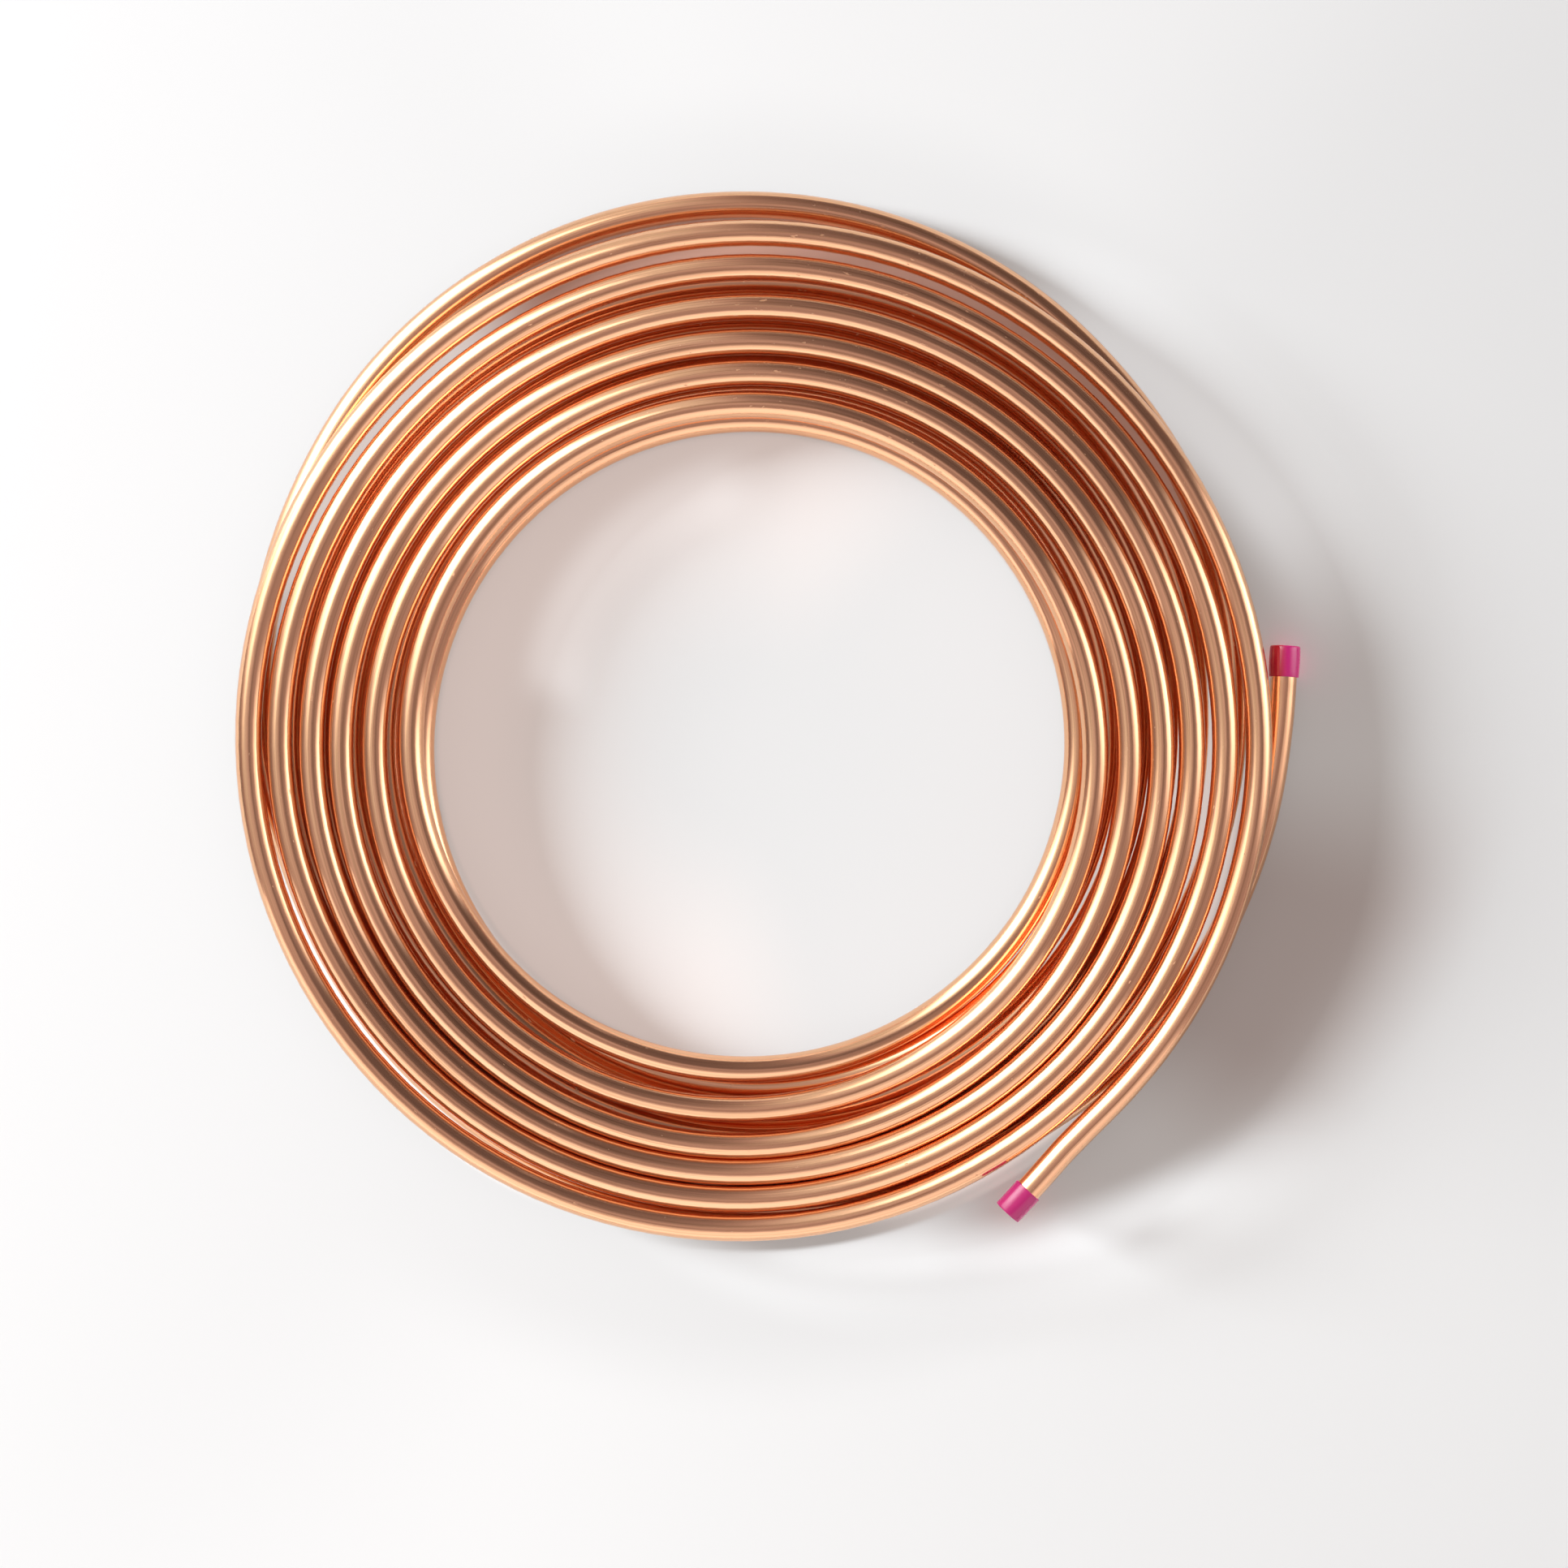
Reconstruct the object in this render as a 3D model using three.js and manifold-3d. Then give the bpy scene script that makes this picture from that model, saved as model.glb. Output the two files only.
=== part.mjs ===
// Copper tube coil: one soft-drawn tube wound as two flat spirals that lie on each other.
// Both ends are on the outside, and each is closed by a push-on plastic cap.
// The wound part is one turned ring whose turns show as ridges on both faces and both
// walls, joined by a web inside. The loose outer turns and the two free ends are swept
// tubes fused to that ring. The coil lies flat, in millimetres, with its axis along +Z.
import * as THREE from 'three';
import { mergeVertices } from 'three/addons/utils/BufferGeometryUtils.js';
import Module from 'manifold-3d';

// Tube and winding.
const TUBE_OD = 12.7;
const TUBE_WALL = 0.8;
const HOLE_DIAMETER = 302;
const TURNS = 6;
const TURN_PITCH = 15;

// Loose outer turns: [angle in degrees, how far the tube stands off the outermost wound
// turn]. The stand-off is negative where the run slips back among the wound turns.
const UPPER_TURN = [[286, -2.2], [270, -0.7], [225, 4.5], [180, 8.5], [135, 11.4], [90, 14.3],
  [45, 13.4], [0, 12.6], [-30, 11.9], [-46, 11.7], [-54, 15.3], [-57.6, 19.1]];
const LOWER_LOOP = [[-16, -4.7], [0, 1.5], [27, 12.2], [45, 18.6], [60, 24.1], [75, 28.7],
  [95, 30.8], [120, 28.1], [135, 23.2], [150, 16.5], [165, 10.4], [180, 3.5], [192, -3.6]];
const LOWER_TAIL = [[-60, -4.2], [-47.5, 0.8], [-25.5, 11.4], [-10, 18.2], [0, 23.2], [7, 27.7]];

// Bore left open at each free end, and the caps over the ends.
const BORE_DEPTH = 24;
const CAP_LENGTH = 15.2;
const CAP_WALL = 0.6;
const CAP_END = 1.5;
const CAP_TAPER = 0.15;
const CAP_EDGE_RADIUS = 1.2;
const CAP_CLEARANCE = 0.5;
const CAP_SEAT_GAP = 0.3;
const CAP_FLOOR_GAP = 0.3;

// Facets.
const TUBE_SIDES = 12;
const RING_STEPS = 40;
const SWEEP_STEP = 26;
const CAP_STEPS = 24;
const EDGE_STEPS = 3;

const DEGREE = Math.PI / 180;
const TUBE_RADIUS = TUBE_OD / 2;
const FIRST_TURN_RADIUS = HOLE_DIAMETER / 2 + TUBE_RADIUS;
const LAST_TURN_RADIUS = FIRST_TURN_RADIUS + (TURNS - 1) * TURN_PITCH;
const LOWER_HEIGHT = TUBE_RADIUS;
const UPPER_HEIGHT = TUBE_RADIUS + TUBE_OD;
const CAP_RADIUS = TUBE_RADIUS + CAP_CLEARANCE + CAP_WALL;
const LOWER_END_RISE = CAP_RADIUS + CAP_FLOOR_GAP - LOWER_HEIGHT;

const copper = new THREE.MeshStandardMaterial({ color: 0xc98a66, roughness: 0.18, metalness: 1 });
const plastic = new THREE.MeshStandardMaterial({ color: 0xc4307f, roughness: 0.35, metalness: 0 });

const wasm = await Module();
wasm.setup();

/** Corner i of a tube's section: the polygon drawn round its circle, flat side down. */
function sectionCorner(diameter, i) {
  const angle = (2 * i + 1) * Math.PI / TUBE_SIDES;
  const reach = diameter / 2 / Math.cos(Math.PI / TUBE_SIDES);
  return new THREE.Vector2(reach * Math.cos(angle), reach * Math.sin(angle));
}

function tubeSection(diameter) {
  const corners = Array.from({ length: TUBE_SIDES }, (_, i) => sectionCorner(diameter, i));
  return new THREE.Shape(corners);
}

/** Corners first to last of one turn of the ring, in the ring's profile plane. */
function turnArc(turn, height, first, last) {
  const centre = new THREE.Vector2(FIRST_TURN_RADIUS + turn * TURN_PITCH, height);
  const arc = [];
  for (let i = first; i <= last; i += 1) {
    arc.push(sectionCorner(TUBE_OD, i).add(centre));
  }
  return arc;
}

/**
 * The wound turns as one turned ring. Its profile runs anticlockwise: out along the lower
 * face, up the outer wall, in along the upper face and down the inner wall. A turn between
 * two others keeps only the corners of its section that face out of the ring, and the first
 * and the last turn also keep those on their free side.
 */
function woundRing() {
  const quarter = TUBE_SIDES / 4;
  const half = TUBE_SIDES / 2;
  const lastTurn = TURNS - 1;
  const profile = [];
  for (let turn = 0; turn <= lastTurn; turn += 1) {
    const first = turn === 0 ? quarter : half - 1;
    const last = turn === lastTurn ? TUBE_SIDES + quarter - 1 : TUBE_SIDES;
    profile.push(...turnArc(turn, LOWER_HEIGHT, first, last));
  }
  for (let turn = lastTurn; turn >= 0; turn -= 1) {
    const first = turn === lastTurn ? 1 - quarter : -1;
    const last = turn === 0 ? half + quarter - 2 : half;
    profile.push(...turnArc(turn, UPPER_HEIGHT, first, last));
  }
  profile.push(profile[0].clone());
  const ring = new THREE.LatheGeometry(profile, RING_STEPS);
  return ring.rotateX(Math.PI / 2);
}

/**
 * A free run's centre line: a curve through its stations, then straight on for its end.
 * It climbs by rise on the way, steeper towards its end.
 */
function freeRun(stations, height, rise, straightEnd) {
  const points = stations.map(([degrees, standOff], i) => {
    const reach = LAST_TURN_RADIUS + standOff;
    const angle = degrees * DEGREE;
    const climb = rise * Math.min(1, i / (stations.length - 2)) ** 2;
    return new THREE.Vector3(reach * Math.cos(angle), reach * Math.sin(angle), height + climb);
  });
  const bend = new THREE.CatmullRomCurve3(points);
  const path = new THREE.CurvePath();
  path.add(bend);
  if (straightEnd > 0) {
    const start = points.at(-1);
    const end = start.clone().addScaledVector(bend.getTangent(1), straightEnd);
    path.add(new THREE.LineCurve3(start, end));
  }
  return path;
}

function sweep(diameter, path) {
  const steps = Math.ceil(path.getLength() / SWEEP_STEP);
  return new THREE.ExtrudeGeometry(tubeSection(diameter), { steps, extrudePath: path });
}

/** The straight plug that opens a free end, from inside the tube to just past its face. */
function endBore(path) {
  const mouth = path.getPoint(1);
  const way = path.getTangent(1);
  const inside = mouth.clone().addScaledVector(way, -BORE_DEPTH);
  const outside = mouth.clone().addScaledVector(way, TUBE_WALL);
  return sweep(TUBE_OD - 2 * TUBE_WALL, new THREE.LineCurve3(inside, outside));
}

/** Cup-shaped cap along +Y: its mouth is at the origin and its end is closed. */
function capGeometry() {
  const inner = CAP_RADIUS - CAP_WALL;
  const endRadius = CAP_RADIUS - CAP_TAPER;
  const profile = [
    new THREE.Vector2(0, CAP_LENGTH - CAP_END),
    new THREE.Vector2(inner, CAP_LENGTH - CAP_END),
    new THREE.Vector2(inner, 0),
    new THREE.Vector2(CAP_RADIUS, 0),
  ];
  for (let i = 0; i <= EDGE_STEPS; i += 1) {
    const angle = i / EDGE_STEPS * Math.PI / 2;
    profile.push(new THREE.Vector2(
      endRadius - CAP_EDGE_RADIUS * (1 - Math.cos(angle)),
      CAP_LENGTH - CAP_EDGE_RADIUS * (1 - Math.sin(angle)),
    ));
  }
  profile.push(new THREE.Vector2(0, CAP_LENGTH));
  return new THREE.LatheGeometry(profile, CAP_STEPS);
}

function solidOf(geometry) {
  const bare = geometry.clone();
  bare.deleteAttribute('normal');
  bare.deleteAttribute('uv');
  const merged = mergeVertices(bare, 1e-4);
  return new wasm.Manifold(new wasm.Mesh({
    numProp: 3,
    vertProperties: new Float32Array(merged.attributes.position.array),
    triVerts: new Uint32Array(merged.index.array),
  }));
}

function geometryOf(solid) {
  const mesh = solid.getMesh();
  const geometry = new THREE.BufferGeometry();
  geometry.setAttribute('position', new THREE.BufferAttribute(mesh.vertProperties, 3));
  geometry.setIndex(new THREE.BufferAttribute(mesh.triVerts, 1));
  geometry.computeVertexNormals();
  return geometry;
}

function placeCap(name, path) {
  const cap = new THREE.Mesh(capGeometry(), plastic.clone());
  const way = path.getTangent(1);
  const overlap = CAP_LENGTH - CAP_END - CAP_SEAT_GAP;
  cap.name = name;
  cap.position.copy(path.getPoint(1)).addScaledVector(way, -overlap);
  cap.quaternion.setFromUnitVectors(new THREE.Vector3(0, 1, 0), way);
  return cap;
}

const upperRun = freeRun(UPPER_TURN, UPPER_HEIGHT, 0, CAP_LENGTH);
const lowerLoop = freeRun(LOWER_LOOP, LOWER_HEIGHT, 0, 0);
const lowerRun = freeRun(LOWER_TAIL, LOWER_HEIGHT, LOWER_END_RISE, CAP_LENGTH);

let tubeSolid = solidOf(woundRing());
for (const path of [upperRun, lowerLoop, lowerRun]) {
  tubeSolid = tubeSolid.add(solidOf(sweep(TUBE_OD, path)));
}
for (const path of [upperRun, lowerRun]) {
  tubeSolid = tubeSolid.subtract(solidOf(endBore(path)));
}

const tube = new THREE.Mesh(geometryOf(tubeSolid), copper);
tube.name = 'tube_coil';

const coil = new THREE.Group();
coil.add(tube, placeCap('end_cap_upper', upperRun), placeCap('end_cap_lower', lowerRun));
const box = new THREE.Box3().setFromObject(coil);
const middle = box.getCenter(new THREE.Vector3());
coil.position.set(-middle.x, -middle.y, -box.min.z);

const part = new THREE.Group();
part.add(coil);
part.updateMatrixWorld(true);

export default part;
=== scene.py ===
# %% [markdown]
# # A coil of copper tube
#
# The object is one soft-drawn copper tube, 12.7 mm thick and 15 m long, wound as a flat spiral of six turns
# that dives under itself at the hole and winds out again as a second layer. Both ends are on the outside,
# and each wears a pink plastic cap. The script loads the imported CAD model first, because it fixes where
# everything is: one solid for the tube and one for each cap. The looks are then built in the same frame, in
# metres. The frame is centred on the whole coil with its free ends, so the axis of the winding stands a
# little off it.

# %% Load the frame
import math
import bmesh
import bpy
from mathutils import Matrix, Vector


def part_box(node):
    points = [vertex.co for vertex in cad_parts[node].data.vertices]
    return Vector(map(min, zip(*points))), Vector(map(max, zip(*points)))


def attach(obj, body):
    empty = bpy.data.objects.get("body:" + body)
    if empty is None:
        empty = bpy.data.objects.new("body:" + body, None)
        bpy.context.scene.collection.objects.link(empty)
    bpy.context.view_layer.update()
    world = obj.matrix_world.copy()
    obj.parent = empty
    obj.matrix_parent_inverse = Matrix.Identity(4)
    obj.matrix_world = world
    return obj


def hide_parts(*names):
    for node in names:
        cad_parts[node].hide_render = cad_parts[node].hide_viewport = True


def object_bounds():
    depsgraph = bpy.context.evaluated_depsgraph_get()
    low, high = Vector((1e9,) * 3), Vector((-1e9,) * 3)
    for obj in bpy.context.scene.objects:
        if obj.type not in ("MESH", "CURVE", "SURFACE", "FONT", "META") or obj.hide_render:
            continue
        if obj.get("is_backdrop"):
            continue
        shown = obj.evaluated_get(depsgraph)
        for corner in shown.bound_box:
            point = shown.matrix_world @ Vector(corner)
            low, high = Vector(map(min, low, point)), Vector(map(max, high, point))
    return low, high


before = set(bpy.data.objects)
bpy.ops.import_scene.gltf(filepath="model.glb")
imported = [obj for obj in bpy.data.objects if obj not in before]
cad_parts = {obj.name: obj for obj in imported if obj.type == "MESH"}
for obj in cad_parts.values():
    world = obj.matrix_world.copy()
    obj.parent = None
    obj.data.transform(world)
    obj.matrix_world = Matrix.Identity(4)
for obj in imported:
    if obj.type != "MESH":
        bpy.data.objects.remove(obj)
cad_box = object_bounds()
scene = bpy.context.scene
MM = 0.001
TUBE = 12.7 * MM
LOWER_LAYER = TUBE / 2
UPPER_LAYER = LOWER_LAYER + TUBE
COIL_AXIS = Vector((-9.84 * MM, -15.39 * MM, 0))
print("CAD nodes:", sorted(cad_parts))

# %% [markdown]
# ## Camera
#
# The coil is seen square on, from 1.6 m above its upper layer. A perspective camera with its turn left at
# zero looks straight down, with +X to the right and +Y up. Its lens follows from the width of the view at
# that distance, so the two sizes are written down and the focal length is worked out.

# %% Camera
CAMERA_RISE = 1.6
VIEW_WIDTH = 0.7535
VIEW_X, VIEW_Y = 6.7 * MM, -33.7 * MM
SENSOR_WIDTH = 36

camera_data = bpy.data.cameras.new("camera")
camera_data.sensor_width = SENSOR_WIDTH
camera_data.lens = SENSOR_WIDTH * CAMERA_RISE / VIEW_WIDTH
camera_data.clip_start, camera_data.clip_end = 0.05, 50
camera = bpy.data.objects.new("camera", camera_data)
camera.location = (VIEW_X, VIEW_Y, UPPER_LAYER + CAMERA_RISE)
scene.collection.objects.link(camera)
scene.camera = camera
print(f"camera: {camera_data.lens:.1f} mm lens")

# %% [markdown]
# ## Arithmetic on sockets
#
# Shader and geometry trees are mostly sums. Written node by node they are long and hard to read, so one
# small class wraps a socket and lets Python's own operators add the Math nodes. Every other node comes from
# its one method, `node`, which sets the node's options first and then its inputs.

# %% Sockets that can be added and multiplied
class Wire:
    """An output socket of a node tree. Arithmetic on it adds Math nodes."""

    def __init__(self, tree, socket=None):
        self.tree = tree
        self.socket = socket

    def node(self, kind, settings=None, inputs=None, output=0):
        """Add any node: its options first, then its inputs by name or number."""
        made = self.tree.nodes.new(kind)
        for option, value in (settings or {}).items():
            setattr(made, option, value)
        for key, value in (inputs or {}).items():
            if isinstance(value, Wire):
                self.tree.links.new(value.socket, made.inputs[key])
            else:
                made.inputs[key].default_value = value
        return Wire(self.tree, made.outputs[output])

    def math(self, operation, *others):
        """A Math node on this socket and the others."""
        return self.node("ShaderNodeMath", {"operation": operation}, dict(enumerate((self, *others))))

    def __add__(self, other):
        return self.math("ADD", other)

    def __mul__(self, other):
        return self.math("MULTIPLY", other)

    def __sub__(self, other):
        return self.math("SUBTRACT", other)

    def __rsub__(self, other):
        return self.node("ShaderNodeMath", {"operation": "SUBTRACT"}, {0: other, 1: self})

    __radd__ = __add__
    __rmul__ = __mul__

    def steps(self, low, high):
        """0 below low, 1 above high, and a smooth slope between them."""
        return self.node("ShaderNodeMapRange", {"interpolation_type": "SMOOTHSTEP"},
                         {"Value": self, "From Min": low, "From Max": high})

    def out(self, name):
        """Another output of the same node."""
        return Wire(self.tree, self.socket.node.outputs[name])

# %% [markdown]
# A few sums come back in several materials, so each is a function: a soft-edged range of a value, a blend of
# two colours, and the two measures that suit a round object seen from above. These are how far a place is
# from the coil's axis, its reach, and in which direction it lies from there, its bearing. Bearings are in
# degrees from +X towards +Y, and run from -180 to 180.

# %% Helpers for materials
def plain_material(name):
    """A new material and its Principled shader."""
    material = bpy.data.materials.new(name)
    material.use_nodes = True
    return material, material.node_tree.nodes["Principled BSDF"]


def window(value, low, high, soft):
    """1 between low and high, 0 outside, with edges as wide as soft."""
    return value.steps(low, low + soft) * (1 - value.steps(high - soft, high))


def blend(share, plain, tint):
    """The colour plain where share is 0, and tint where it is 1.

    A Mix node's colours are its inputs 6 and 7 and its output 2, because its other types come before them.
    """
    return share.node("ShaderNodeMix", {"data_type": "RGBA"}, {"Factor": share, 6: plain, 7: tint}, output=2)


def place_on(start):
    """The place in Object coordinates, split into X, Y and Z."""
    return start.node("ShaderNodeSeparateXYZ", None, {0: start.node("ShaderNodeTexCoord", output="Object")})


def from_axis(start):
    """How far the place being shaded is from the coil's axis along X and along Y."""
    place = place_on(start)
    return place.out("X") - COIL_AXIS.x, place.out("Y") - COIL_AXIS.y


def bearing_of(east, north):
    """The direction of a place that is east and north of a centre, in degrees."""
    return north.math("ARCTAN2", east) * (180 / math.pi)

# %% [markdown]
# ## Floor
#
# The coil lies on a plain white floor. Beside polished copper a white floor isn't white all over: light that
# the turns have coloured falls between them and into their long shadow. Each such bounce costs a render many
# light paths, so the floor's colour paints it: a copper tint is painted light under the turns from the right
# to the top, and a darker, warm grey is a painted shadow, with the copper's light in it, at the lower right.
# Both have soft edges in reach and bearing.

# %% The floor's colour, with painted copper light and painted shadow
WHITE = (0.93, 0.93, 0.93, 1)
# Painted light: the copper-coloured light that the turns throw on the floor under them.
PAINTED_COPPER_LIGHT = (0.8, 0.45, 0.35, 1)
# Painted shadow: a darker, warm grey for the floor in the coil's long shadow.
PAINTED_SHADOW = (0.69, 0.62, 0.6, 1)
HOLE_EDGE = 0.156
COIL_EDGE = 0.246
TOP_BULGE = 0.016

floor_white, floor_shader = plain_material("floor_white")
floor_shader.inputs["Roughness"].default_value = 0.9
floor_shader.inputs["Specular IOR Level"].default_value = 0.1
start = Wire(floor_white.node_tree)
east, north = from_axis(start)
reach = (east * east + north * north).math("SQRT")
bearing = bearing_of(east, north)

outer_edge = COIL_EDGE + TOP_BULGE * window(bearing, 58, 128, 12)
under = reach.steps(HOLE_EDGE - 4 * MM, HOLE_EDGE) * (1 - (reach - outer_edge).steps(-2 * MM, MM))
beside = reach.steps(0.235, 0.25) * (1 - under)
# Painted shadow: this mask darkens the floor's colour in the coil's long shadow at the lower right.
painted_long_shadow = beside * window(bearing, -46, 0, 16) * (1 - (reach - 0.001 * bearing).steps(0.315, 0.39))
# Painted light: the floor under the turns takes the copper's bounced light as a tint.
floor_colour_and_painted_light = blend(under * window(bearing, 8, 128, 14), WHITE, PAINTED_COPPER_LIGHT)
floor_colour_and_painted_light = blend(painted_long_shadow, floor_colour_and_painted_light, PAINTED_SHADOW)
floor_white.node_tree.links.new(floor_colour_and_painted_light.socket, floor_shader.inputs["Base Color"])
print("floor colour:", len(floor_white.node_tree.nodes), "nodes")

# %% [markdown]
# Curved mirrors also throw pale arcs on a floor. A path tracer finds such light only after thousands of
# samples, so a faint glow of the floor draws it. An arc is a band of reach within a range of bearings. It
# leans, because the mirror that throws it is a spiral: each degree past a pivot moves it out by a little.
# The glow is warm where it has come off copper, in the hole and in the slits between the turns, and cool
# where it fills the shadow. A last, even lift above and below the coil stands in for white walls.

# %% The floor's glow
def arc(lean, pivot, rise, fall, sector, soft):
    """A soft band between the reaches rise and fall. It moves out by lean for each degree past pivot."""
    leaning = reach - lean * (bearing - pivot)
    return leaning.steps(*rise) * (1 - leaning.steps(*fall)) * window(bearing, *sector, soft)


shadow_end = 1.1 * arc(lean=-0.001, pivot=0, rise=(0.27, 0.3), fall=(0.305, 0.36),
                       sector=(6, 68), soft=20)
below = arc(lean=0.0016, pivot=-40, rise=(0.29, 0.312), fall=(0.313, 0.36), sector=(-108, -30), soft=16)
below *= 0.85 + 0.2 * bearing.steps(-66, -50)
below_crest = 0.55 * arc(lean=0.0016, pivot=-40, rise=(0.288, 0.31), fall=(0.313, 0.329),
                         sector=(-70, -39), soft=9)
close_below = 1.1 * arc(lean=0.0012, pivot=-80, rise=(0.1, 0.2), fall=(0.25, 0.268),
                        sector=(-96, -60), soft=12)
hole_arc = 0.6 * arc(lean=-0.0004, pivot=140, rise=(0.085, 0.108), fall=(0.112, 0.132),
                     sector=(85, 172), soft=14)
cool_glow = beside * (shadow_end + below + below_crest + close_below) + hole_arc

hole_wide = reach.steps(0.03, 0.14) * (1 - reach.steps(HOLE_EDGE - 6 * MM, HOLE_EDGE))
in_hole = hole_wide * (1 - 0.85 * window(bearing, -105, 80, 35))
right_slits = window(bearing, -80, 14, 12) * (1 - 0.6 * reach.steps(0.238, 0.242))
left_slits = window(bearing, 112, 172, 16) + 0.6 * window(bearing, -168, -112, 12)
slits = under * (right_slits + left_slits * (1 - reach.steps(0.244, 0.247)))
warm_glow = 0.75 * in_hole + 1.3 * slits
lift = 0.07 * window(bearing, -135, -10, 30) + 0.05 * window(bearing, 40, 118, 24)
lift *= reach.steps(0.28, 0.33)

WARM = (0.25, 0.205, 0.19)
COOL = (0.235, 0.25, 0.26)
HOLE_TINT = (0, -0.035, -0.045)
channels = [warm * warm_glow + cool * cool_glow + tint * in_hole + lift
            for warm, cool, tint in zip(WARM, COOL, HOLE_TINT)]
floor_glow = start.node("ShaderNodeCombineColor", None, dict(enumerate(channels)))
floor_white.node_tree.links.new(floor_glow.socket, floor_shader.inputs["Emission Color"])
floor_shader.inputs["Emission Strength"].default_value = 1
print("floor with its glow:", len(floor_white.node_tree.nodes), "nodes")

# %% [markdown]
# It lies a hair below the coil, because two faces in one plane flicker.

# %% Floor
FLOOR_SIZE = 12
FLOOR_GAP = 0.2 * MM

bpy.ops.mesh.primitive_plane_add(size=FLOOR_SIZE, location=(0, 0, -FLOOR_GAP))
floor = bpy.context.active_object
floor.name = "floor"
floor.data.materials.append(floor_white)
floor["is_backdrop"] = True
print(f"floor: {FLOOR_SIZE} m square, white")

# %% [markdown]
# ## Light
#
# Bright copper has almost no colour of its own: what the eye reads as its shape is the room mirrored in it.
# So the lights are shaped and placed like the real ones in a small studio. They are panels that glow,
# because a panel's outline shows in the mirror. The camera doesn't see them, so that they never stand in
# another view, and their glow is added to what is behind them, so that where it fades the room shows again.

# %% A panel that glows
def around(degrees, reach, height):
    """A place at a bearing and a reach from the coil's axis."""
    angle = math.radians(degrees)
    return COIL_AXIS + Vector((reach * math.cos(angle), reach * math.sin(angle), height))


def panel(name, middle, aim, outline, brightness):
    """A flat light that faces aim, with corners at (across, up) in metres.

    brightness is a function that gives the strength at a place on the panel.
    """
    material, unused_shader = plain_material(name)
    tree = material.node_tree
    tree.nodes.remove(unused_shader)
    start = Wire(tree)
    place = place_on(start)
    light = start.node("ShaderNodeEmission", None, {"Strength": brightness(place.out("X"), place.out("Y"))})
    light = start.node("ShaderNodeAddShader", None, {0: light, 1: start.node("ShaderNodeBsdfTransparent")})
    tree.links.new(light.socket, tree.nodes["Material Output"].inputs["Surface"])

    mesh = bpy.data.meshes.new(name)
    mesh.from_pydata([(x, y, 0) for x, y in outline], [], [list(range(len(outline)))])
    mesh.materials.append(material)
    made = bpy.data.objects.new(name, mesh)
    made.location = middle
    made.rotation_euler = (middle - aim).to_track_quat("Z", "Y").to_euler()
    made.visible_camera = made.visible_shadow = False
    scene.collection.objects.link(made)
    made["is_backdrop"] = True
    print(f"{name}: {len(outline)} corners")
    return made

# %% [markdown]
# A large soft box stands at the upper left, 50 degrees down from overhead. It is wide at the bottom and
# narrows to a round top, brightest in the middle, and every turn carries its picture as the long white line.
# Its outline and its fades are written as shares of its distance, which are what the mirror shows.

# %% Soft box
BOX_BEARING = 139.5
BOX_DISTANCE = 2.4
BOX_TILT = math.radians(50)
BOX_OUTLINE = [(-0.44, -0.83), (0.66, -0.83), (0.66, 0.1), (0.5, 0.3), (0.31, 0.45), (0.21, 0.64),
               (0.1, 0.73), (-0.1, 0.73), (-0.21, 0.64), (-0.31, 0.45), (-0.4, 0.27), (-0.44, 0.1)]


def box_brightness(x, y):
    """Brightest in the middle, and fading towards its top and its right side."""
    x, y = x * (1 / BOX_DISTANCE), y * (1 / BOX_DISTANCE)
    core = (1 - x.math("ABSOLUTE").steps(0.05, 0.3)) * (1 - (y + 0.15).math("ABSOLUTE").steps(0.1, 0.45))
    return (3.4 + 4 * core) * x.steps(-0.42, -0.27) * (1 - x.steps(0.05, 0.6)) * (1 - y.steps(0.15, 0.7))


soft_box = panel(
    "soft_box",
    around(BOX_BEARING, BOX_DISTANCE * math.sin(BOX_TILT), BOX_DISTANCE * math.cos(BOX_TILT)),
    COIL_AXIS,
    [(x * BOX_DISTANCE, y * BOX_DISTANCE) for x, y in BOX_OUTLINE],
    box_brightness,
)

# %% [markdown]
# A second light stands at the right. It has soft edges all round, so the sheen it gives has no outline. A
# long white card leans in from below, brighter towards the soft box that lights it. The card shows in the
# copper but lights no matt surface, so the floor stays as its own lamps make it.

# %% Side light and card
SIDE_BEARING = 9
SIDE_DISTANCE = 1.3
SIDE_HEIGHT = 0.65
CARD_BEARING = -90
CARD_DISTANCE = 1.14
CARD_HEIGHT = 0.9
CARD_SHIFT = Vector((-1.0, 0, 0))


def rectangle(left, right, bottom, top):
    """The four corners of a panel's outline."""
    return [(left, bottom), (right, bottom), (right, top), (left, top)]


def side_brightness(x, y):
    """Fades to all four sides."""
    return (3.2 * x.steps(-0.56, 0.06) * (1 - x.steps(0.15, 0.62))
            * y.steps(-0.88, -0.36) * (1 - y.steps(-0.25, 1.15)))


def card_brightness(x, y):
    """Fades towards its top and its right end."""
    return (1.12 - 0.45 * x.steps(0.2, 2.6)) * (1 - y.steps(0.15, 1.45))


side_light = panel(
    "side_light",
    around(SIDE_BEARING, SIDE_DISTANCE, SIDE_HEIGHT),
    around(SIDE_BEARING, 0, SIDE_HEIGHT),
    rectangle(-0.62, 0.63, -0.64, 1.25),
    side_brightness,
)
card = panel(
    "card_below",
    around(CARD_BEARING, CARD_DISTANCE, CARD_HEIGHT) + CARD_SHIFT,
    around(CARD_BEARING, 0, CARD_HEIGHT) + CARD_SHIFT,
    rectangle(-2.7, 2.7, -0.88, 1.4),
    card_brightness,
)
card.visible_diffuse = False

# %% [markdown]
# The floor has lamps of its own. A low one at the left throws the coil's long soft shadow to the right. A
# high one fills the floor evenly and nothing blocks it, as if light came in behind the coil, so that the
# floor seen between the turns isn't black. It is warm, as light that has touched copper is, and the low one
# is cool, so that they add up to white outside the shadow. Light linking says what each reaches and what can
# shade it.

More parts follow.
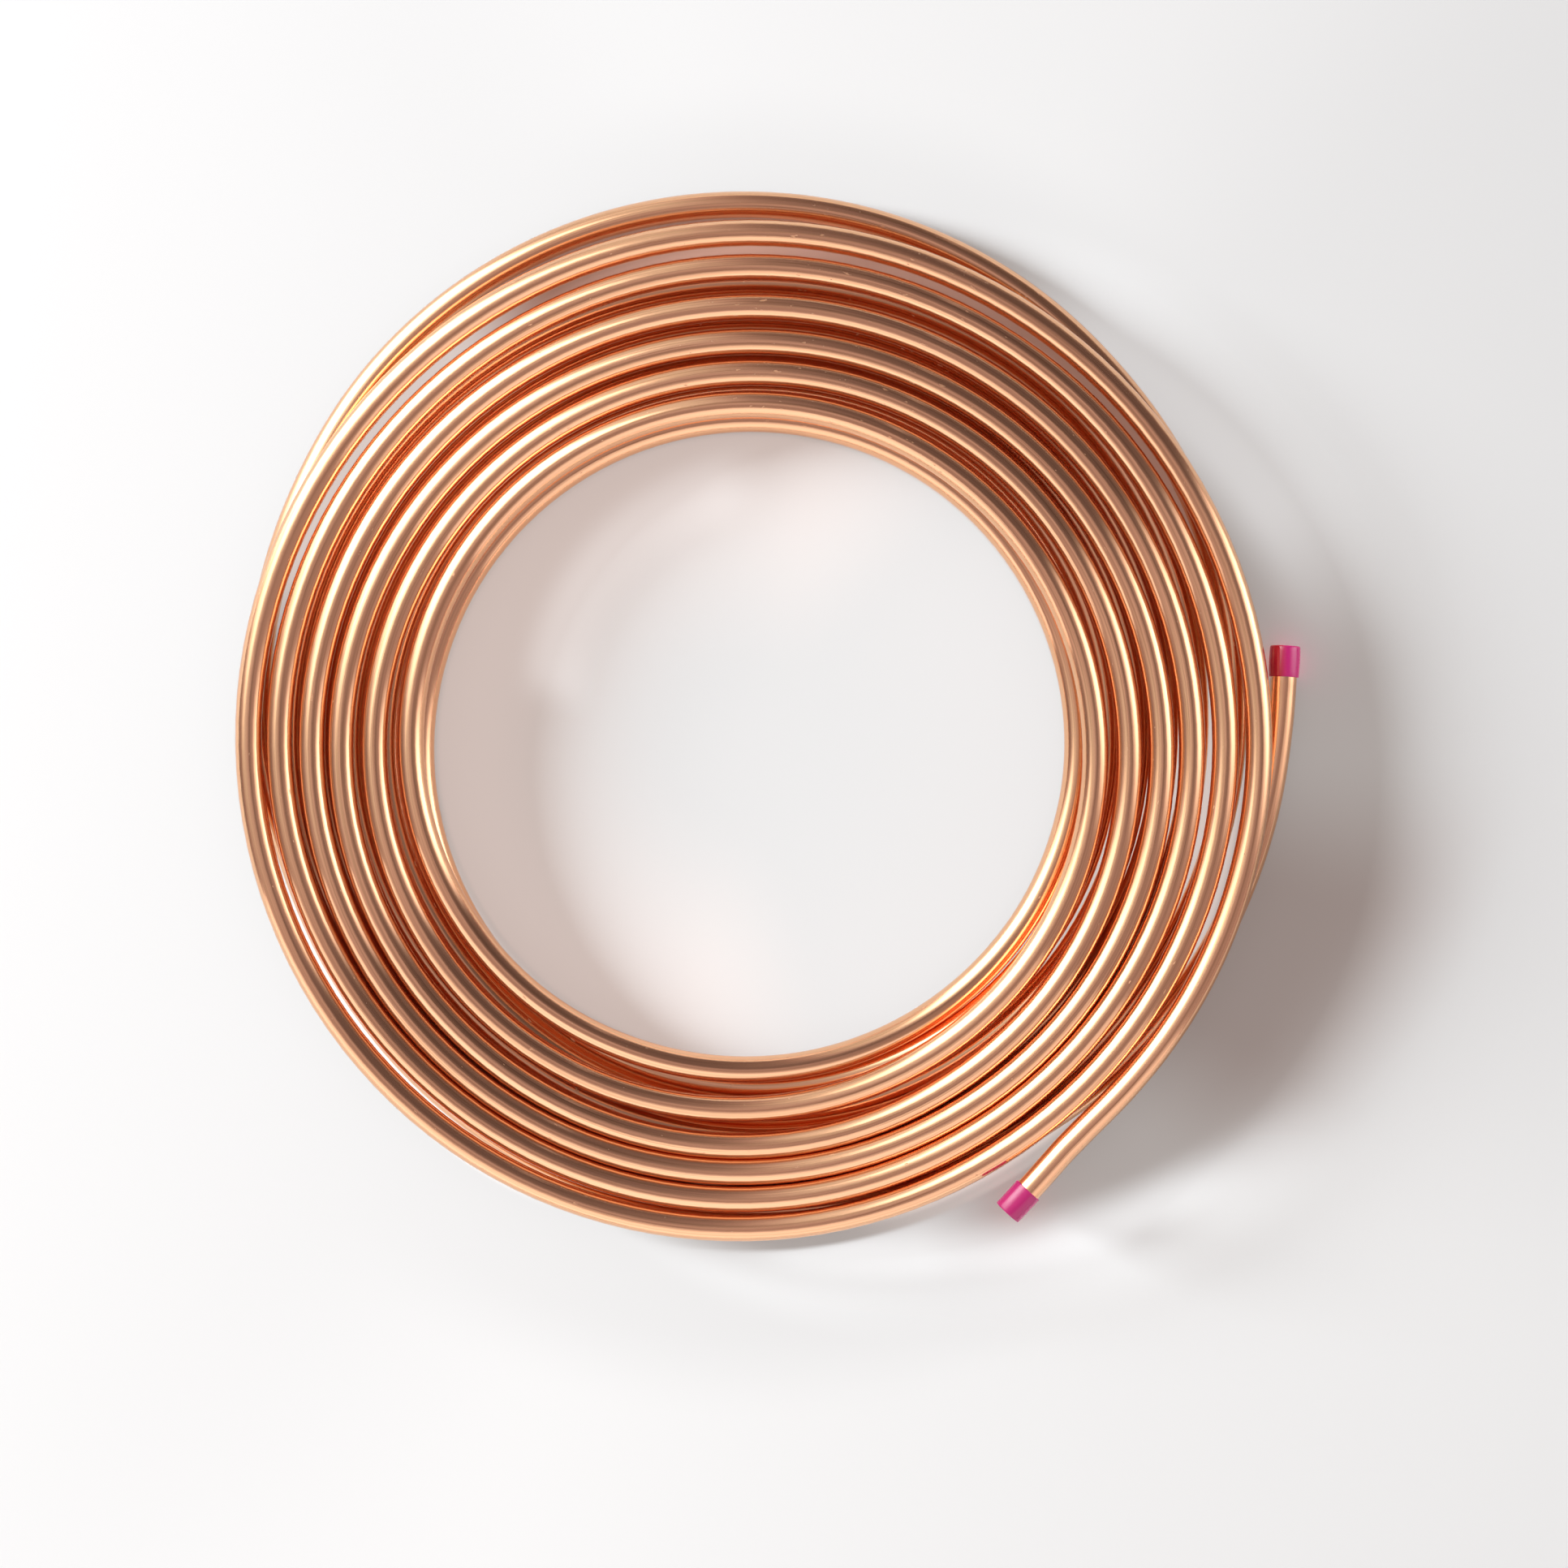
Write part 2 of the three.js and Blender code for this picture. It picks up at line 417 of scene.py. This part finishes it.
# %% Floor lamps
LAMP_DISTANCE = 6
LAMP_WIDTH = 1.9


def floor_group(name, state):
    """A collection for light linking: the floor alone (INCLUDE), or all but the floor (EXCLUDE)."""
    group = bpy.data.collections.new(name)
    group.objects.link(floor)
    group.collection_objects[0].light_linking.link_state = state
    return group


only_floor = floor_group("only_floor", "INCLUDE")
all_but_floor = floor_group("all_but_floor", "EXCLUDE")


def floor_lamp(name, degrees, rise, watts, colour):
    """A round lamp at a bearing round the coil, rise degrees above the floor."""
    data = bpy.data.lights.new(name, "AREA")
    data.shape = "DISK"
    data.size = LAMP_WIDTH
    data.energy = watts
    data.color = colour
    lamp = bpy.data.objects.new(name, data)
    angle = math.radians(rise)
    lamp.location = around(degrees, LAMP_DISTANCE * math.cos(angle), LAMP_DISTANCE * math.sin(angle))
    lamp.rotation_euler = (lamp.location - COIL_AXIS).to_track_quat("Z", "Y").to_euler()
    lamp.visible_camera = False
    scene.collection.objects.link(lamp)
    lamp.light_linking.receiver_collection = only_floor
    print(f"{name}: {watts} W, {rise} degrees up")
    return lamp


floor_lamp("low_lamp", degrees=165, rise=15, watts=720, colour=(0.92, 0.99, 1.03))
high_lamp = floor_lamp("high_lamp", degrees=190, rise=55, watts=170, colour=(1.0, 0.87, 0.81))
high_lamp.light_linking.blocker_collection = only_floor
for light in (soft_box, side_light):
    light.light_linking.receiver_collection = all_but_floor

# %% [markdown]
# The room behind the camera is dim, and not evenly: a glow surrounds the soft box, and the side at the upper
# right is dark, with one bright chink in it and a pale strip low down. A model of the room would do it, but
# only its blurred picture in the copper is ever seen, so the world gives the light from the direction alone:
# its turn about +Z and its tilt away from +Z.

# %% The room's light by direction
world = bpy.data.worlds.new("room")
scene.world = world
world.use_nodes = True
room = Wire(world.node_tree)
sight = room.node("ShaderNodeTexCoord", output="Generated")
axes = room.node("ShaderNodeSeparateXYZ", None, {0: sight})
turn = bearing_of(axes.out("X"), axes.out("Y"))
tilt = axes.out("Z").math("ARCCOSINE") * (180 / math.pi)
to_box = (soft_box.location - COIL_AXIS).normalized()
near_box = room.node("ShaderNodeVectorMath", {"operation": "DOT_PRODUCT"}, {0: sight, 1: to_box},
                     output="Value")

dim = 0.32 + 0.15 * (1 - tilt.steps(4, 20)) + 0.08 * tilt.steps(35, 65)
box_halo = 0.6 * near_box.steps(0.6, 0.96)
dark_side = window(turn, 22, 102, 14) * window(tilt, 0, 84, 8)
dark_overhead = 0.8 * window(turn, -14, 50, 14) * window(tilt, 0, 24, 6)
dark = dark_side.math("MAXIMUM", dark_overhead)
dark_left = turn.math("ABSOLUTE").steps(155, 180) * tilt.steps(40, 65)
chink = 0.5 * window(turn, 64.5, 67.5, 1.2) * window(tilt, 50, 76, 8)
low_strip = 0.95 * window(turn, 35, 115, 20) * tilt.steps(75, 86)
level = (dim + box_halo) * (1 - 0.63 * dark) * (1 - 0.6 * dark_left) + chink + low_strip
print("room, by direction:", len(world.node_tree.nodes), "nodes")

# %% [markdown]
# The dim parts of the room are a little pink. Only mirrors show a room, and matt surfaces get a faint even
# light instead: a Light Path node tells the two apart.

# %% Room
EVEN_LIGHT = 0.1
NEUTRAL = (1, 1, 1, 1)
PINK = (1.17, 0.93, 0.99, 1)

in_mirror = room.node("ShaderNodeLightPath", output="Is Glossy Ray")
tint = blend(in_mirror * (1 - level.steps(0.4, 0.8)), NEUTRAL, PINK)
strength = EVEN_LIGHT + (level - EVEN_LIGHT) * in_mirror
ground = room.node("ShaderNodeBackground", None, {"Color": tint, "Strength": strength})
world.node_tree.links.new(ground.socket, world.node_tree.nodes["World Output"].inputs["Surface"])
print("room:", len(world.node_tree.nodes), "nodes")

# %% [markdown]
# ## The winding, unrolled
#
# Cut along a line from its axis and unrolled, a spiral is nearly a straight line: how far round it is runs
# along X, and how far out it is runs along Y. Eight stations a turn are enough there, because a curve
# through them bends only as much as the turns sag. The lists give, in millimetres, the radius of the tube's
# centre line at 0, 45, 90 ... 315 degrees. A turn that bends more sharply has its own list of angles and
# radii, and the dive from the upper layer to the lower one has heights as well.

# %% Stations of the winding
UPPER_END = [(-54, 247.7), (-50.6, 245.3), (-45, 244.1), (-30, 244.3), (-15, 244.5)]
UPPER_TURNS = [
    [244.9, 245.7, 246.6, 243.8, 240.8, 236.9, 231.7, 228.9],
    [228.7, 229.9, 230.1, 227.6, 226.0, 221.8, 217.8, 214.4],
    [212.7, 212.3, 211.0, 210.3, 210.6, 208.8, 204.8, 201.6],
    [198.1, 196.4, 194.3, 194.6, 196.4, 195.3, 192.2, 187.6],
    [182.5, 181.2, 179.4, 179.0, 180.3, 179.4, 174.4, 170.4],
]
INNER_TURN = [(0, 166.1), (45, 164.4), (90, 164.2), (135, 164.0), (180, 162.8), (225, 159.2)]
DIVE = [(250, 156.6, 19.05), (270, 155.7, 16.5), (285, 155.7, 14.1), (300, 156.0, 11.0),
        (315, 156.6, 8.3), (330, 157.4, 6.8), (345, 157.9, 6.35)]
LOWER_TURNS = [
    [158.6, 159.2, 158.6, 158.5, 159.2, 161.3, 164.7, 169.6],
    [173.0, 177.3, 176.5, 175.7, 175.6, 173.3, 177.1, 182.8],
    [187.5, 192.6, 192.6, 191.8, 192.6, 187.5, 189.5, 195.4],
    [201.0, 208.5, 208.7, 207.9, 206.8, 200.4, 201.2, 208.3],
    [215.6, 226.0, 225.1, 224.5, 222.1, 213.1, 213.9, 221.3],
]
LOOSE_TURN = [(0, 233.9), (15, 240.0), (30, 246.2), (45, 251.0), (60, 256.5), (75, 260.5), (90, 262.3),
              (105, 262.2), (120, 260.0), (135, 255.5), (150, 248.8), (165, 242.9), (180, 237.4),
              (192, 229.2), (207, 226.1), (225, 224.9), (250, 225.1), (270, 225.2), (290, 227.8),
              (300, 228.4), (312.5, 233.1), (334.5, 243.7), (345, 248.2), (355, 253.0)]
LOWER_END = [(0, 255.5), (5, 258.7)]
print("turns written down:", len(UPPER_TURNS) + 1, "above and", len(LOWER_TURNS) + 1, "below")

# %% [markdown]
# Each end runs straight for the last stretch, inside its cap. The cap's box in the CAD model gives where the
# cap is, and the way it points is written down, so the end of the tube follows from the two.

# %% The two ends
CAP_LENGTH = 15.2 * MM
CAP_OVERLAP = 13.4 * MM


def cap_seat(node, heading):
    """Mouth of a cap and the way it points, from the box of its CAD node."""
    low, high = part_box(node)
    angle = math.radians(heading)
    way = Vector((math.cos(angle), math.sin(angle), 0))
    return (low + high) / 2 - way * CAP_LENGTH / 2, way


SEATS = {
    "end_cap_upper": cap_seat("end_cap_upper", 227.2),
    "end_cap_lower": cap_seat("end_cap_lower", 87.0),
}


def straight_end(node, near):
    """Stations of the straight stretch in a cap, from the tube's end inwards, at angles close to near."""
    mouth, way = SEATS[node]
    found = []
    for depth in (CAP_OVERLAP, CAP_OVERLAP / 2, 0):
        spot = mouth + way * depth - COIL_AXIS
        angle = math.degrees(math.atan2(spot.y, spot.x))
        angle += 360 * round((near - angle) / 360)
        found.append((angle, math.hypot(spot.x, spot.y) / MM, spot.z / MM))
    return found


print("cap mouths, mm:", {node: [round(v / MM, 1) for v in mouth] for node, (mouth, way) in SEATS.items()})

# %% [markdown]
# The stations now go into one list in the order of the tube, from the end in the upper cap to the end in the
# lower one. Angles only grow, by 360 a turn, so `wound` counts what is already behind. The last stretch
# climbs a little, because its cap is thicker than the tube and must clear the floor.

# %% All stations in order
UP, LOW = UPPER_LAYER / MM, LOWER_LAYER / MM
END_CLIMB = SEATS["end_cap_lower"][0].z / MM - LOW
CLIMB_SHARES = (0.2, 0.65)


def turn_stations(radii, first_angle, height):
    """The stations of a turn that is written as eight radii."""
    return [(first_angle + 45 * i, radius, height) for i, radius in enumerate(radii)]


stations = straight_end("end_cap_upper", near=-60)
stations += [(angle, radius, UP) for angle, radius in UPPER_END]
for turn, radii in enumerate(UPPER_TURNS):
    stations += turn_stations(radii, 360 * turn, UP)
wound = 360 * len(UPPER_TURNS)
stations += [(wound + angle, radius, UP) for angle, radius in INNER_TURN]
stations += [(wound + angle, radius, height) for angle, radius, height in DIVE]
for turn, radii in enumerate(LOWER_TURNS):
    stations += turn_stations(radii, wound + 360 * (turn + 1), LOW)
wound += 360 * (len(LOWER_TURNS) + 1)
stations += [(wound + angle, radius, LOW) for angle, radius in LOOSE_TURN]
wound += 360
stations += [(wound + angle, radius, LOW + END_CLIMB * share)
             for (angle, radius), share in zip(LOWER_END, CLIMB_SHARES)]
stations += reversed(straight_end("end_cap_lower", near=wound + 7))
print(f"winding: {len(stations)} stations, {(stations[-1][0] - stations[0][0]) / 360:.2f} turns")

# %% [markdown]
# ## Rolling it up
#
# A geometry tree draws a smooth curve through the unrolled stations, rolls it up and sweeps a ring along it.
# A curve bent by hand would need hundreds of handles, and the rule here is short. The tree has named inputs
# for the tube's diameter, the number of its sides and how fine the curve is.

# %% Tree that winds a tube
winding = bpy.data.node_groups.new("wind_tube", "GeometryNodeTree")
face = winding.interface
face.new_socket("Geometry", in_out="INPUT", socket_type="NodeSocketGeometry")
face.new_socket("Tube Diameter", in_out="INPUT", socket_type="NodeSocketFloat")
face.new_socket("Sides", in_out="INPUT", socket_type="NodeSocketInt")
face.new_socket("Points per Span", in_out="INPUT", socket_type="NodeSocketInt")
face.new_socket("Material", in_out="INPUT", socket_type="NodeSocketMaterial")
face.new_socket("Geometry", in_out="OUTPUT", socket_type="NodeSocketGeometry")

inlet = Wire(winding).node("NodeGroupInput")
curve = inlet.node("GeometryNodeCurveSplineType", {"spline_type": "CATMULL_ROM"}, {"Curve": inlet})
curve = inlet.node("GeometryNodeSetSplineResolution", None,
                   {"Geometry": curve, "Resolution": inlet.out("Points per Span")})
curve = inlet.node("GeometryNodeResampleCurve", {"mode": "EVALUATED"}, {"Curve": curve})

unrolled = inlet.node("ShaderNodeSeparateXYZ", None, {0: inlet.node("GeometryNodeInputPosition")})
turned, radius, height = unrolled.out("X"), unrolled.out("Y"), unrolled.out("Z")
rolled = inlet.node("ShaderNodeCombineXYZ", None, {
    "X": radius * turned.math("COSINE") + COIL_AXIS.x,
    "Y": radius * turned.math("SINE") + COIL_AXIS.y,
    "Z": height.math("MAXIMUM", inlet.out("Tube Diameter") * 0.5),
})
curve = inlet.node("GeometryNodeSetPosition", None, {"Geometry": curve, "Position": rolled})
curve = inlet.node("GeometryNodeSetCurveNormal", {"mode": "Z_UP"}, {"Curve": curve})
print("wind_tube so far:", len(winding.nodes), "nodes")

# %% [markdown]
# The tree also keeps, at each point of the skin, where that point was when the tube was still straight: its
# distance along the tube and its place in the round section, with up as up. The copper's drawn lines follow
# that attribute, so they run along the tube, with no seam, however it is bent.

# %% Ring swept along the curve
def kept(wire, geometry, value):
    """Capture a vector or number at each point. Returns the geometry and the kept value."""
    node = wire.tree.nodes.new("GeometryNodeCaptureAttribute")
    kind = "VECTOR" if value.socket.type == "VECTOR" else "FLOAT"
    node.capture_items.new(kind, "Value")
    wire.tree.links.new(geometry.socket, node.inputs["Geometry"])
    wire.tree.links.new(value.socket, node.inputs["Value"])
    return Wire(wire.tree, node.outputs["Geometry"]), Wire(wire.tree, node.outputs["Value"])


length = inlet.node("GeometryNodeSplineParameter", output="Length")
curve, along = kept(inlet, curve, length)
ring = inlet.node("GeometryNodeCurvePrimitiveCircle", {"mode": "RADIUS"},
                  {"Resolution": inlet.out("Sides"), "Radius": inlet.out("Tube Diameter") * 0.5})
ring, section = kept(inlet, ring, inlet.node("GeometryNodeInputPosition"))
skin = inlet.node("GeometryNodeCurveToMesh", None, {"Curve": curve, "Profile Curve": ring})

section = inlet.node("ShaderNodeSeparateXYZ", None, {0: section})
straight = inlet.node("ShaderNodeCombineXYZ", None,
                      {"X": along, "Y": section.out("X"), "Z": section.out("Y") * -1})
skin = inlet.node("GeometryNodeStoreNamedAttribute", {"data_type": "FLOAT_VECTOR", "domain": "POINT"},
                  {"Geometry": skin, "Name": "straight", "Value": straight})
skin = inlet.node("GeometryNodeSetShadeSmooth", None, {"Geometry": skin})
skin = inlet.node("GeometryNodeRealizeInstances", None, {"Geometry": skin})
skin = inlet.node("GeometryNodeSetMaterial", None, {"Geometry": skin, "Material": inlet.out("Material")})
outlet = winding.nodes.new("NodeGroupOutput")
winding.links.new(skin.socket, outlet.inputs["Geometry"])
print("wind_tube:", len(winding.nodes), "nodes")

# %% [markdown]
# A plain curve object carries the stations and the tree. The modifier's inputs are set by the identifier of
# their sockets, before anything asks for the result. That result is then copied as a mesh of its own, and
# the curve has done its work. Forty sides make the outline of a tube this thin look round.

# %% Wind the tube
SIDES = 40
SPAN_POINTS = 16

copper, copper_shader = plain_material("copper")
line = bpy.data.curves.new("unrolled_winding", "CURVE")
line.dimensions = "3D"
spline = line.splines.new("POLY")
spline.points.add(len(stations) - 1)
for point, (angle, radius, height) in zip(spline.points, stations):
    point.co = (math.radians(angle), radius * MM, height * MM, 1)
guide = bpy.data.objects.new("unrolled_winding", line)
scene.collection.objects.link(guide)

modifier = guide.modifiers.new("wind_tube", "NODES")
modifier.node_group = winding
named = {item.name: item.identifier for item in face.items_tree if item.in_out == "INPUT"}
modifier[named["Tube Diameter"]] = TUBE
modifier[named["Sides"]] = SIDES
modifier[named["Points per Span"]] = SPAN_POINTS
modifier[named["Material"]] = copper
bpy.context.view_layer.update()
evaluated = guide.evaluated_get(bpy.context.evaluated_depsgraph_get())
tube_mesh = bpy.data.meshes.new_from_object(evaluated)
bpy.data.objects.remove(guide)
print("swept skin:", len(tube_mesh.vertices), "points")

# %% [markdown]
# The sweep leaves the tube open like a paper straw. Real tube has a wall, and it shows when a cap is pulled
# off: so each open edge is turned in to the bore, drawn 24 mm back along the straight end and closed there.

# %% Bore of the two ends
WALL = 0.8 * MM
BORE_DEPTH = 24 * MM
BORE_SHARE = (TUBE - 2 * WALL) / TUBE

body = bmesh.new()
body.from_mesh(tube_mesh)
swept_faces = len(body.faces)
edges = [edge for edge in body.edges if edge.is_boundary]
for mouth, way in SEATS.values():
    end = mouth + way * CAP_OVERLAP
    rim = [edge for edge in edges if (edge.verts[0].co - end).length < TUBE]
    for scale, shift in ((BORE_SHARE, 0), (1, -BORE_DEPTH)):
        made = bmesh.ops.extrude_edge_only(body, edges=rim)["geom"]
        points = [item for item in made if isinstance(item, bmesh.types.BMVert)]
        for edge in rim:
            edge.smooth = False
        rim = [item for item in made if isinstance(item, bmesh.types.BMEdge) and item.is_boundary]
        for point in points:
            point.co = end + (point.co - end) * scale + way * shift
    for edge in rim:
        edge.smooth = False
    bmesh.ops.edgeloop_fill(body, edges=rim)
bmesh.ops.recalc_face_normals(body, faces=body.faces)
print("open edges left:", sum(edge.is_boundary for edge in body.edges),
      " volume:", round(body.calc_volume() * 1e6, 1), "cm3")

# %% [markdown]
# Blender adds the faces of an extrusion in an order that changes from run to run. They are numbered by where
# they lie and sorted, so that each run stores the same mesh.

# %% Fixed order for the faces of the bores
body.faces.index_update()
added = sorted(body.faces[swept_faces:], key=lambda face: face.calc_center_median()[:])
for number, face in enumerate(added, swept_faces):
    face.index = number
body.faces.sort()
print("faces added for the bores:", len(added))

# %% [markdown]
# The finished skin goes back into the mesh. Smooth shading hides its forty flat sides, and the edges round
# each mouth and at the bottom of each bore were marked sharp above, so the wall keeps its crisp rim.

# %% Copper tube
body.to_mesh(tube_mesh)
body.free()
tube_mesh.name = "copper_tube"
for polygon in tube_mesh.polygons:
    polygon.use_smooth = True
tube = bpy.data.objects.new("copper_tube", tube_mesh)
scene.collection.objects.link(tube)
print("copper_tube:", sum(len(p.vertices) - 2 for p in tube_mesh.polygons), "triangles")

# %% [markdown]
# ## Copper
#
# Bright drawn copper is a clear mirror with a warm tint, and lengthwise lines left by the die. The lines are
# noise on the straight tube, stretched so that one runs half a metre while it is a millimetre wide. Wider
# bands lie over them, and softer patches. They are strongest on the upper face of the tube: the flanks are
# seen at a shallow angle, where even a worn surface mirrors clearly.

# %% Noise on the straight tube
start = Wire(copper.node_tree)
drawn = start.node("ShaderNodeAttribute", {"attribute_name": "straight"}, output="Vector")


def drawn_noise(scale_along, scale_across, detail, seed):
    """Noise on the straight tube, with its own scale along the tube and across it."""
    spread = start.node("ShaderNodeMapping", None, {
        "Vector": drawn,
        "Location": (seed, seed, seed),
        "Scale": (scale_along, scale_across, scale_across),
    })
    return start.node("ShaderNodeTexNoise", None, {"Vector": spread, "Scale": 1.0, "Detail": detail})


lines = drawn_noise(scale_along=2, scale_across=1100, detail=3.0, seed=3.1)
bands = drawn_noise(scale_along=5, scale_across=420, detail=2.0, seed=9.4)
patches = drawn_noise(scale_along=9, scale_across=160, detail=3.0, seed=7.7)
across = start.node("ShaderNodeSeparateXYZ", None, {0: drawn})
upper_face = across.out("Z").steps(0.25 * TUBE, 0.42 * TUBE)
print("copper, drawn lines:", len(copper.node_tree.nodes), "nodes")

# %% [markdown]
# Soft copper marks easily. Scuffs are small matt spots, and a few more of them lie where the coil has been
# handled, along its top and at its lower left. Scratches are long and dark. Both are noise cut off high up,
# so that only its rare peaks are left, and both are on the upper face only.

# %% Scuffs and scratches
bearing = bearing_of(*from_axis(start))
handled = window(bearing, 48, 104, 14) + 0.6 * window(bearing.math("ABSOLUTE"), 105, 124, 6)
scuffs = drawn_noise(scale_along=150, scale_across=450, detail=4.0, seed=1.3) + 0.05 * handled
scuffed = scuffs.steps(0.72, 0.75) * upper_face
scratches = drawn_noise(scale_along=7, scale_across=800, detail=2.0, seed=21.0)
scratched = scratches.steps(0.63, 0.69) * upper_face
print("copper, with marks:", len(copper.node_tree.nodes), "nodes")

# %% [markdown]
# The marks reach the shader in three ways: as a browner colour, as a rougher surface and as a slight ripple
# of the normal. Drawing also leaves grooves too fine to model, and they widen each reflection across the
# tube and not along it. That is what Anisotropic does, and its quarter turn sets the direction.

# %% Copper material
CLEAR_COPPER = (0.93, 0.53, 0.31, 1)
BROWN_COPPER = (0.68, 0.37, 0.2, 1)

copper_shader.inputs["Metallic"].default_value = 1.0
copper_shader.inputs["Anisotropic"].default_value = 0.75
copper_shader.inputs["Anisotropic Rotation"].default_value = 0.25
drawn_shade = 0.6 * lines.steps(0.35, 0.7) + 0.3 * bands.steps(0.4, 0.75)
shade = drawn_shade * (0.25 + 0.75 * upper_face) + 0.9 * scratched
tone = blend(shade, CLEAR_COPPER, BROWN_COPPER)
wear = 0.04 * lines.steps(0.45, 0.75) + 0.05 * patches.steps(0.5, 0.8) + 0.4 * scuffed
polish = 0.165 + wear * upper_face
groove = (0.6 * lines + bands) * upper_face
ripple = start.node("ShaderNodeBump", None, {"Height": groove, "Strength": 0.25, "Distance": 0.2 * MM})
copper.node_tree.links.new(tone.socket, copper_shader.inputs["Base Color"])
copper.node_tree.links.new(polish.socket, copper_shader.inputs["Roughness"])
copper.node_tree.links.new(ripple.socket, copper_shader.inputs["Normal"])
print("copper:", len(copper.node_tree.nodes), "nodes")

# %% [markdown]
# ## End caps
#
# Each cap is a thin moulded cup. Its outline is turned round the axis: a mouth with a rolled lip, a side, a
# rounded edge and an end that is nearly flat. One cap is slim and straight, and the other bulges like a
# barrel, as soft caps do once they are pushed on. A cap is built along +Z and then laid on the tube's end.

# %% Cap shape
CAP_STEPS = 64
CAP_INSIDE = [(0, 13.7), (6.0, 13.7), (6.4, 13.3), (6.46, 12.6), (6.46, 0.5), (6.6, 0.15)]
SLIM = [(6.75, 0.0), (7.0, 0.0), (7.1, 0.12), (7.1, 0.6), (7.08, 7.0), (7.06, 14.3), (6.98, 14.7),
        (6.7, 14.9), (5.5, 15.03), (3.0, 15.15), (0, 15.2)]
BARREL = [(6.75, 0.05), (7.0, 0.0), (7.2, 0.1), (7.26, 0.5), (7.34, 3.0), (7.43, 6.5), (7.44, 9.0),
          (7.4, 12.5), (7.33, 14.2), (7.15, 14.8), (6.7, 15.1), (5.5, 15.2), (0, 15.2)]


def turned_cap(name, outside, mouth, way):
    """A cup turned from (radius, height) pairs in millimetres, with its mouth laid at mouth."""
    angles = [2 * math.pi * i / CAP_STEPS for i in range(CAP_STEPS)]
    shape = bmesh.new()
    rings = []
    for radius, height in CAP_INSIDE + outside:
        around_axis = angles if radius > 0 else [0]
        rings.append([shape.verts.new((radius * MM * math.cos(a), radius * MM * math.sin(a), height * MM))
                      for a in around_axis])
    for low, high in zip(rings, rings[1:]):
        for i in range(CAP_STEPS):
            corners = [low[i % len(low)], low[(i + 1) % len(low)],
                       high[(i + 1) % len(high)], high[i % len(high)]]
            shape.faces.new(list(dict.fromkeys(corners)))
    bmesh.ops.recalc_face_normals(shape, faces=shape.faces)
    shape.transform(Matrix.Translation(mouth) @ way.to_track_quat("Z", "Y").to_matrix().to_4x4())
    mesh = bpy.data.meshes.new(name)
    shape.to_mesh(mesh)
    shape.free()
    for polygon in mesh.polygons:
        polygon.use_smooth = True
    cap = bpy.data.objects.new(name, mesh)
    scene.collection.objects.link(cap)
    return cap


caps = {
    "end_cap_upper": turned_cap("upper_end_cap", SLIM, *SEATS["end_cap_upper"]),
    "end_cap_lower": turned_cap("lower_end_cap", BARREL, *SEATS["end_cap_lower"]),
}
print("caps:", [cap.name for cap in caps.values()])

# %% [markdown]
# The caps are a smooth pink plastic that lets some light through. Light that enters it comes out again close
# by, which fills its shadows, and a faint glow in the plastic's own colour paints that light in at no cost.
# Where the lower cap faces the coil, light that has come off the copper would redden it, so both colours are
# painted red there, as painted copper light. The change runs across X at the middle of that cap, and below
# the upper cap's top, which stays pink.

# %% Cap plastic
PINK_PLASTIC = (0.66, 0.026, 0.2, 1)
PAINTED_COPPER_LIGHT_ON_CAP = (0.66, 0.012, 0.03, 1)

cap_plastic, plastic_shader = plain_material("cap_plastic")
plastic_shader.inputs["Roughness"].default_value = 0.12
plastic_shader.inputs["Specular IOR Level"].default_value = 0.5
# The glow is painted light: it stands in for light that passes through the plastic.
plastic_shader.inputs["Emission Strength"].default_value = 0.22
place = place_on(Wire(cap_plastic.node_tree))
low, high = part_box("end_cap_lower")
cap_middle = (low.x + high.x) / 2
# Painted copper light: the lower cap's side that faces the coil is coloured red as if lit by the copper.
painted_copper_light_side = 1 - place.out("X").steps(cap_middle - 4 * MM, cap_middle + MM)
lower_layer = 1 - place.out("Z").steps(15 * MM, 17 * MM)
plastic_colour_and_painted_light = blend(painted_copper_light_side * lower_layer, PINK_PLASTIC, PAINTED_COPPER_LIGHT_ON_CAP)
for socket in ("Base Color", "Emission Color"):
    cap_plastic.node_tree.links.new(plastic_colour_and_painted_light.socket, plastic_shader.inputs[socket])
for cap in caps.values():
    cap.data.materials.append(cap_plastic)
print("cap_plastic:", len(cap_plastic.node_tree.nodes), "nodes")

# %% [markdown]
# ## Joining the frame
#
# Every piece rides on the part's one body and stands for the CAD node in its place, which is hidden. The
# third name in each row is the finish the piece already wears, and it is only printed.

# %% Ride and replace
for piece, node, slot in ((tube, "tube_coil", "copper"),
                          (caps["end_cap_upper"], "end_cap_upper", "cap_plastic"),
                          (caps["end_cap_lower"], "end_cap_lower", "cap_plastic")):
    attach(piece, "root")
    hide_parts(node)
    print(f"{piece.name} stands for {node}, in {slot}")

# %% [markdown]
# ## Render settings
#
# The Standard view shows the white floor as white, where a film-like view would grey it. Light that enters a
# gap between two turns bounces from wall to wall before it comes out, so mirrors get 14 bounces. Light that
# mirrors would focus on matt surfaces is left out, because at few samples it is only bright specks.

# %% Render settings
BOUNCES = 14

scene.view_settings.view_transform = "Standard"
scene.cycles.max_bounces = scene.cycles.glossy_bounces = BOUNCES
scene.cycles.caustics_reflective = False
print("bounces:", BOUNCES)

# %% [markdown]
# ## Sizes
#
# The dressed coil has to fill the same box as the CAD model, so both boxes are printed.

# %% Sizes
visual_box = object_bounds()
for name, (low, high) in (("CAD", cad_box), ("visual", visual_box)):
    print(name, "box, mm:", [round(v / MM, 2) for v in (*low, *high)])
